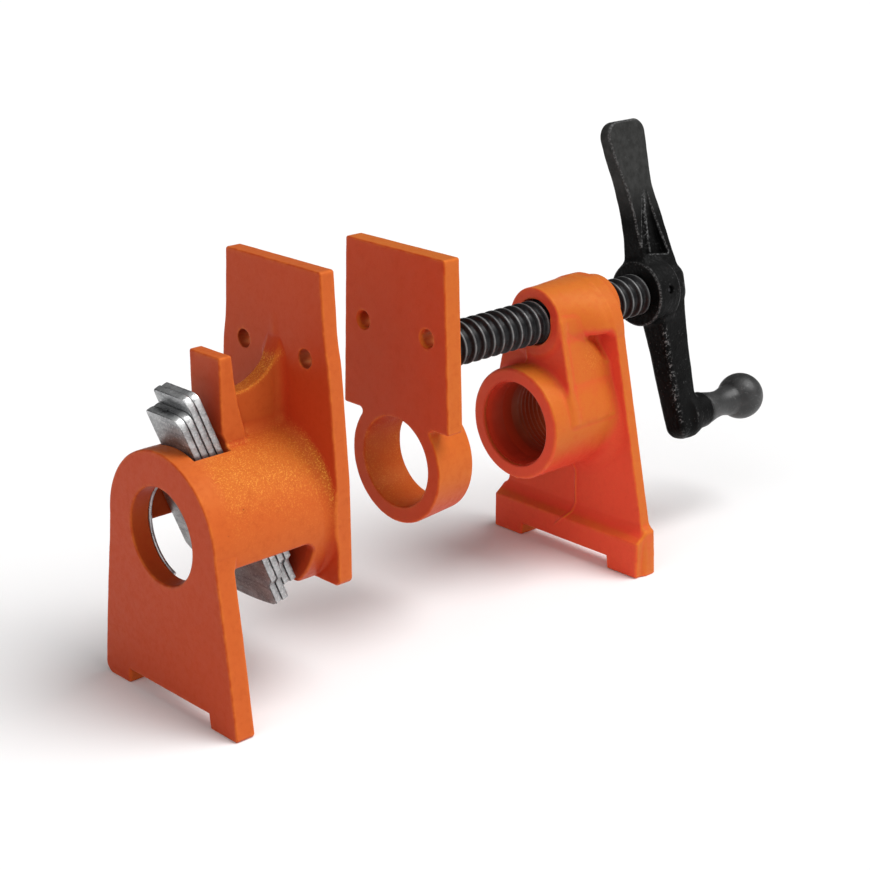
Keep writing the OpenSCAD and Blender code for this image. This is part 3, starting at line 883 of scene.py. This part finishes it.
# ------------------------------------------------------------------ screw
def clamp_screw():
    lead = 4.0
    n = 120
    start, end = -36.3, 57.0
    xs = np.arange(start, end + 1e-6, 0.2)
    a = np.linspace(0, 2 * np.pi, n, endpoint=False)
    X, A = np.meshgrid(xs, a, indexing="ij")
    ph = ((X - lead * A / (2 * np.pi)) / lead) % 1.0
    d = np.abs(ph - 0.5)
    k = np.clip((d - 0.085) / 0.20, 0, 1)
    k = k * k * (3 - 2 * k)
    r = 7.0 - 1.25 * k
    r = np.minimum(r, 5.5 + np.clip((X - start) / 1.3, 0, 1) * 1.5)
    crest = np.clip(1 - (d - 0.035) / 0.07, 0, 1) * np.clip((X - start - 0.8) / 1.0, 0, 1)
    rows = [(-43.7, 4.9), (-43.1, 5.5), (-42.2, 5.5), (-42.1, 5.4), (-42.1, 3.6), (-42.0, 3.5), (-39.0, 3.5), (-38.9, 3.6),
            (-38.9, 5.4), (-38.8, 5.5), (-36.35, 5.5)]
    tail_rows = [(57.05, 5.5), (70.2, 5.5), (71.0, 4.7)]
    ring = lambda x, q: np.stack([np.full(n, x), q * np.cos(a), q * np.sin(a)], -1)
    blocks = [ring(*q) for q in rows]
    blocks.append(np.stack([X, r * np.cos(A), r * np.sin(A)], -1).reshape(-1, 3))
    blocks += [ring(*q) for q in tail_rows]
    verts = np.concatenate(blocks)
    nr = len(verts) // n
    faces = grid_faces(nr, n).tolist()
    c0, c1 = len(verts), len(verts) + 1
    verts = np.concatenate([verts, [(-43.7, 0, 0), (71.0, 0, 0)]])
    for j in range(n):
        k2 = (j + 1) % n
        faces.append((c0, j, k2))
        faces.append((c1, (nr - 1) * n + k2, (nr - 1) * n + j))
    verts[:, 2] += 32.0
    me = new_mesh("clamp_screw_thread", verts * MM, faces)
    fix_normals(me)
    cr = np.zeros(len(verts))
    m = len(rows) * n
    cr[m:m + crest.size] = crest.ravel()
    attribute(me, "crest", cr)
    me.set_sharp_from_angle(angle=math.radians(48))
    return new_object("clamp_screw_thread", me)


finish_piece(clamp_screw(), "screw", "clamp_screw", M_SCREW)


# ------------------------------------------------------------------ knob, rivet and pins
KY, KZ = -44.5 * math.sin(LEAN), 32 - 44.5 * math.cos(LEAN)
prof = [(81.3, 2.56), (81.3, 5.3)] + arc(81.6, 5.35, 0.3, 180, 90, 4)[1:]
prof += [(82.4, 5.62), (83.4, 5.42), (84.5, 5.18), (86, 4.88), (87.5, 4.66), (89, 4.54), (90.2, 4.5), (91.5, 4.6), (93, 4.85),
         (94.4, 5.18)]
prof += [(102.4 + 8.05 * math.cos(math.radians(q)), 8.05 * math.sin(math.radians(q))) for q in np.linspace(139, 32, 40)]
prof += [(109.05, 3.95), (108.75, 3.75), (108.6, 3.4), (108.6, 2.56)]
knob = lathe("crank_ball_knob", prof, (KY, KZ), 96, 50)
finish_piece(knob, "knob", "crank_knob", M_KNOB)
prof = [(66.0, 0), (66.0, 1.7), (66.05, 2.4), (66.2, 2.75), (66.4, 2.9), (66.9, 2.9), (66.9, 2.5), (108.7, 2.5), (108.75, 3.3),
        (109.1, 3.5), (109.6, 3.2), (110.0, 2.5), (110.25, 1.4), (110.35, 0)]
finish_piece(lathe("knob_rivet_pin", prof, (KY, KZ), 48, 40), "screw", "knob_rivet", M_PIN)


def pin(name, r, l, place):
    prof = [(0, 0), (0.05, r * 0.45), (0.2, r * 0.72), (0.45, r * 0.93), (0.7, r), (l - 0.7, r), (l - 0.45, r * 0.93),
            (l - 0.2, r * 0.72), (l - 0.05, r * 0.45), (l, 0)]
    ob = lathe(name, prof, (0, 0), 32, 60)
    ob.data.transform(place)
    return ob


d = Vector((0, math.cos(LEAN), -math.sin(LEAN)))
place = Matrix.Translation((62.5 * MM, 0, 32 * MM)) @ Vector((1, 0, 0)).rotation_difference(d).to_matrix().to_4x4() \
    @ Matrix.Translation((-10 * MM, 0, 0))
finish_piece(pin("crank_cross_pin", 1.25, 20, place), "screw", "crank_pin", M_PIN)
place = Matrix.Translation((-40.5 * MM, 5.2 * MM, 21.9 * MM)) @ Vector((1, 0, 0)).rotation_difference(Vector((0, 0, 1))).to_matrix().to_4x4()
finish_piece(pin("jaw_journal_pin", 1.5, 18, place), "moving_jaw", "jaw_retaining_pin", M_PIN)


# ------------------------------------------------------------------ clutch plates
TABS = [10.8, 11.4, 16.5, 16.9]
ENDS = [53, 52.4, 47.6, 47.2]
TL = math.radians(22.5)


def rounded(pts, n=7):
    """Closed outline from (v, s, corner radius) points, corners rounded."""
    out = []
    m = len(pts)
    for i in range(m):
        p0, p1, p2 = (np.array(pts[(i + k) % m][:2], float) for k in (-1, 0, 1))
        r = pts[i][2]
        a, b = p0 - p1, p2 - p1
        la, lb = np.linalg.norm(a), np.linalg.norm(b)
        a, b = a / la, b / lb
        cosv = float(np.clip(a @ b, -1, 1))
        if r <= 0 or cosv < -0.9995:
            out.append(p1)
            continue
        half = math.acos(cosv) / 2
        t = min(r / math.tan(half), 0.49 * la, 0.49 * lb)
        rr = t * math.tan(half)
        c = p1 + (a + b) / np.linalg.norm(a + b) * (rr / math.sin(half))
        s, e = p1 + a * t - c, p1 + b * t - c
        a0, a1 = math.atan2(s[1], s[0]), math.atan2(e[1], e[0])
        da = (a1 - a0 + math.pi) % (2 * math.pi) - math.pi
        for k in range(n + 1):
            q = a0 + da * k / n
            out.append(c + rr * np.array([math.cos(q), math.sin(q)]))
    return np.array(out)


def loop_inset(p, d):
    """Moves a closed loop inward by d (the loop runs anticlockwise)."""
    a = p - np.roll(p, 1, 0)
    b = np.roll(p, -1, 0) - p
    a /= np.maximum(np.linalg.norm(a, axis=1, keepdims=True), 1e-9)
    b /= np.maximum(np.linalg.norm(b, axis=1, keepdims=True), 1e-9)
    na = np.stack([-a[:, 1], a[:, 0]], 1)
    nb = np.stack([-b[:, 1], b[:, 0]], 1)
    m = na + nb
    m /= np.maximum(np.linalg.norm(m, axis=1, keepdims=True), 1e-9)
    return p + m * (d / np.maximum((m * na).sum(1, keepdims=True), 0.5))


def clutch_plate(i):
    top, end = TABS[i], ENDS[i]
    body = 19.8
    sh = end - 8.5
    neck = 25 - math.sqrt(body ** 2 - 7.5 ** 2)
    pts = [(-7.5, -top, 2.9 if i % 2 == 0 else 2.4), (-7.5, neck, 1.0)]
    a0 = math.degrees(math.asin(7.5 / body))
    for q in np.linspace(a0 + 4, 90, 22):
        pts.append((-body * math.sin(math.radians(q)), 25 - body * math.cos(math.radians(q)), 0))
    pts += [(-body, sh - 3.2, 0.5), (-17.5, sh - 0.6, 0.4)]
    pts += [(17.5 * k, end - 2.6 * k * k, 0) for k in (-1, -0.94)]
    pts += [(17.5 * k, end - 2.0 * k * k, 0) for k in np.linspace(-0.88, 0.88, 15)]
    pts += [(17.5 * k, end - 2.6 * k * k, 0) for k in (0.94, 1)]
    pts += [(17.5, sh - 0.6, 0.4), (body, sh - 3.2, 0.5)]
    for q in np.linspace(90, a0 + 4, 22):
        pts.append((body * math.sin(math.radians(q)), 25 - body * math.cos(math.radians(q)), 0))
    pts += [(7.5, neck, 1.0), (7.5, -top, 1.3)]
    out = rounded(pts)
    # (v, s) with s downward: turned to (v, -s) so that the loop runs anticlockwise
    out = np.stack([out[:, 0], -out[:, 1]], 1)
    area = 0.5 * np.sum(out[:, 0] * np.roll(out[:, 1], -1) - np.roll(out[:, 0], -1) * out[:, 1])
    if area < 0:
        out = out[::-1]
    # even spacing
    seg = np.linalg.norm(np.roll(out, -1, 0) - out, axis=1)
    cum = np.concatenate([[0], np.cumsum(seg)])
    loop = np.concatenate([out, out[:1]])
    m = 300
    tt = np.linspace(0, cum[-1], m, endpoint=False)
    out = np.stack([np.interp(tt, cum, loop[:, 0]), np.interp(tt, cum, loop[:, 1])], 1)
    nh = 96
    q = np.linspace(0, 2 * np.pi, nh, endpoint=False)
    hole = np.stack([14.15 * np.cos(q), -24.6 + 14.15 * np.sin(q)], 1)
    t = 2.2
    # blanked edge: a rolled side, a sheared band, a torn band that leans, and a small burr
    rng = np.random.default_rng(40 + i)
    torn = 0.05 * np.sin(tt * 2.1) + 0.05 * rng.standard_normal(m).cumsum() / 12
    levels = [(0.0, 0.32), (0.05, 0.16), (0.14, 0.05), (0.26, 0.0), (1.35, 0.0), (1.6, 0.03), (1.92, 0.06), (2.1, 0.17), (2.2, 0.34)]
    verts, edge, glint, seam_and_tab_shade = [], [], [], []
    # painted highlight: a white glint on the rounded corner at the tab's near side; painted shade: dark lines along the
    # seams and a shadow across the first two tabs
    near = np.clip(1.25 - np.hypot(out[:, 0] + 6.6, out[:, 1] - top + 0.9) / 2.3, 0, 1)
    tip = np.clip((out[:, 1] - top + 0.8) / 0.5, 0, 1) * np.clip(1 - np.abs(out[:, 0] - 0.5) / 4.5, 0, 1) ** 0.5
    for x, ins in levels:
        rim = 0.9 if x in (0.05, 0.14, 2.1) else 0.0
        tab_shadow = tip * (np.clip((x - 0.9) / 0.5, 0, 1) if i == 0 else np.clip((1.6 - x) / 0.5, 0, 1) if i == 1 else 0.0)
        glint += list(near * (0.12 < x < 2.05))
        seam_and_tab_shade += list(np.maximum(rim * (1 - near), tab_shadow * (0 < x < 2.2)))
    glint += [0.0] * (96 * len(levels))
    seam_and_tab_shade += [0.0] * (96 * len(levels))
    for x, ins in levels:
        lp = loop_inset(out, ins + (np.clip(torn, -0.05, 0.05)[:, None] if 1.3 < x < 2.1 else 0.0))
        verts += [(x, a, b) for a, b in lp]
        edge += [0.3 if x == 0 or x > 2.1 else 1.0 if x < 0.5 else 0.6 if x < 1.4 else 0.15] * m
    for x, ins in levels:
        rr = 14.15 + ins * 0.7
        verts += [(x, a * rr / 14.15, -24.6 + (b + 24.6) * rr / 14.15) for a, b in hole]
        edge += [0.8 if 0 < x < 0.4 else 0.2] * nh
    L = len(levels)
    faces = []
    for k in range(L - 1):
        for j in range(m):
            j2 = (j + 1) % m
            faces.append((k * m + j, k * m + j2, (k + 1) * m + j2, (k + 1) * m + j))
        b0 = L * m
        for j in range(nh):
            j2 = (j + 1) % nh
            faces.append((b0 + k * nh + j, b0 + (k + 1) * nh + j, b0 + (k + 1) * nh + j2, b0 + k * nh + j2))
    for k in (0, L - 1):
        o = [Vector((verts[k * m + j][1], verts[k * m + j][2], 0)) for j in range(m)]
        hl = [Vector((verts[L * m + k * nh + j][1], verts[L * m + k * nh + j][2], 0)) for j in range(nh)]
        ids = [k * m + j for j in range(m)] + [L * m + k * nh + j for j in range(nh)]
        for tri in tessellate_polygon([o, hl]):
            faces.append(tuple(ids[c] for c in tri))
    v = np.array(verts)
    c, s = math.cos(TL), math.sin(TL)
    # lean the tops toward -X about the pivot edge
    X = v[:, 0] * c - v[:, 2] * s
    Z = v[:, 0] * s + v[:, 2] * c
    step = (2.2 + 0.08) / c
    P = np.stack([X - 137 + 6.3 + i * step, v[:, 1], Z + 24.4], 1)
    name = "clutch_plate_%d_blank" % (i + 1)
    me = new_mesh(name, P * MM, faces)
    fix_normals(me)
    attribute(me, "edge", np.array(edge))
    attribute(me, "glint", np.array(glint))
    attribute(me, "seam_and_tab_shade", np.array(seam_and_tab_shade))
    me.set_sharp_from_angle(angle=math.radians(32))
    return new_object(name, me)


for i in range(4):
    finish_piece(clutch_plate(i), "clutch_%d" % (i + 1), "clutch_plate_%d" % (i + 1), M_PLATE)


# ------------------------------------------------------------------ clutch spring
def tube(name, pts, r, n=12, taper=True):
    p = np.array(pts, float)
    t = np.gradient(p, axis=0)
    t /= np.linalg.norm(t, axis=1, keepdims=True)
    verts = []
    m = len(p)
    ref = np.array([1.0, 0, 0])
    for k in range(m):
        a = ref - t[k] * (ref @ t[k])
        a /= np.linalg.norm(a)
        b = np.cross(t[k], a)
        rr = r * (0.86 if taper and k in (0, m - 1) else 1.0)
        for j in range(n):
            q = 2 * math.pi * j / n
            verts.append(p[k] + rr * (a * math.cos(q) + b * math.sin(q)))
    faces = grid_faces(m, n).tolist()
    faces += [tuple(range(n)), tuple((m - 1) * n + j for j in range(n))]
    me = new_mesh(name, np.array(verts) * MM, faces)
    fix_normals(me)
    me.set_sharp_from_angle(angle=math.radians(45))
    return new_object(name, me)


pts = []
for f in np.linspace(0, 1, 150):
    a = math.radians(-75 + 360 * 1.05 * f)
    y, z = 14.65 * math.cos(a), 14.65 * math.sin(a)
    room = 0.1 + math.tan(TL) * (24.4 - z)
    pts.append((-137 + 6.8 + f ** 2.6 * (room - 1.415), y, z))
spring = finish_piece(tube("clutch_spring_wire", pts, 0.55), "tail_jaw", "clutch_spring", M_WIRE)
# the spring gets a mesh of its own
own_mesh(spring)

# ------------------------------------------------------------------ floor, light
FLOOR = -0.051
me = bpy.data.meshes.new("floor")
s = 9.0
me.from_pydata([(-s, -s, FLOOR), (s, -s, FLOOR), (s, s, FLOOR), (-s, s, FLOOR)], [], [(0, 1, 2, 3)])
floor = new_object("floor", me)
t = Tree("floor_white")
floor.data.materials.append(t.done(t.mix(t.noise(3, 2), (0.93, 0.93, 0.93), (0.95, 0.95, 0.95)), 0.9))
t.b.inputs["Specular IOR Level"].default_value = 0.0


def area(name, pos, target, size, power, color=(1, 1, 1), size_y=None):
    li = bpy.data.lights.new(name, "AREA")
    li.shape = "RECTANGLE"
    li.size = size
    li.size_y = size_y or size
    li.energy = power
    li.color = color
    ob = bpy.data.objects.new(name, li)
    bpy.context.scene.collection.objects.link(ob)
    d = Vector(target) - Vector(pos)
    ob.matrix_world = Matrix.Translation(pos) @ d.to_track_quat("-Z", "Y").to_matrix().to_4x4()
    return ob


def sun(name, to_light, strength, angle, color=(1, 1, 1)):
    li = bpy.data.lights.new(name, "SUN")
    li.energy = strength
    li.angle = math.radians(angle)
    li.color = color
    ob = bpy.data.objects.new(name, li)
    bpy.context.scene.collection.objects.link(ob)
    ob.matrix_world = Vector(to_light).to_track_quat("Z", "Y").to_matrix().to_4x4()
    return ob


sun("key", (0.34, -0.42, 0.86), 2.85, 46)
sun("fill", (0.55, -0.85, 0.30), 0.40, 60)
sun("side", (-0.78, -0.32, 0.54), 0.95, 60)
world = bpy.data.worlds.new("studio")
bpy.context.scene.world = world
world.use_nodes = True
world.node_tree.nodes["Background"].inputs["Color"].default_value = (1, 1, 1, 1)
world.node_tree.nodes["Background"].inputs["Strength"].default_value = 0.14
vs = bpy.context.scene.view_settings
vs.view_transform = "Standard"
vs.look = "None"
vs.exposure = 0.0
vs.gamma = 1.0
